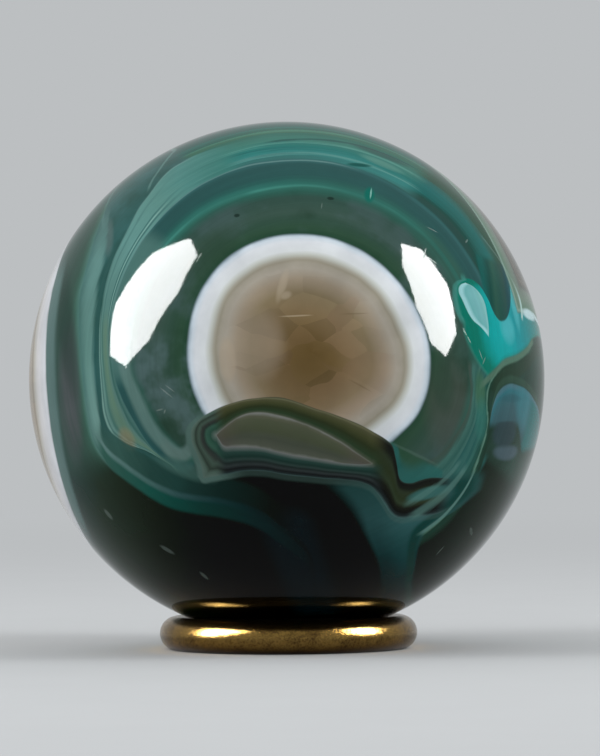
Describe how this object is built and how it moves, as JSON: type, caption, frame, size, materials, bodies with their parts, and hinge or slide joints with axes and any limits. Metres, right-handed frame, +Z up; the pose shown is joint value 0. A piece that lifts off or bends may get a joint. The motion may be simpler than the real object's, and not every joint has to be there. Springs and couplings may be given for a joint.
{
  "type": "agate sphere on ring stand",
  "caption": "Polished banded green agate ball with a white-ringed eye, resting loose in a plain hoop stand of round brass rod; the ball turns in its seat.",
  "frame": {"origin": "on the table, at the centre of the ring stand's foot, below the centre of the ball", "axes": "+Z up along the axis that the ball and the ring share; -Y is the front, where the white-ringed eye faces; +X to the right of the front"},
  "size_m": [0.076, 0.076, 0.0777],
  "materials": {
    "agate": "high polish, green banded agate with a white-ringed brown eye",
    "brass": "satin, rubbed bright, lightly mottled with age"
  },
  "bodies": {
    "stand": {"brass_ring": "brass"},
    "ball": {"agate_sphere": "agate"}
  },
  "joints": [
    {"name": "sphere_turn", "type": "hinge", "parent": "stand", "child": "ball", "pos_m": [0, 0, 0.03968], "axis": [0, 0, 1], "continuous": true}
  ]
}
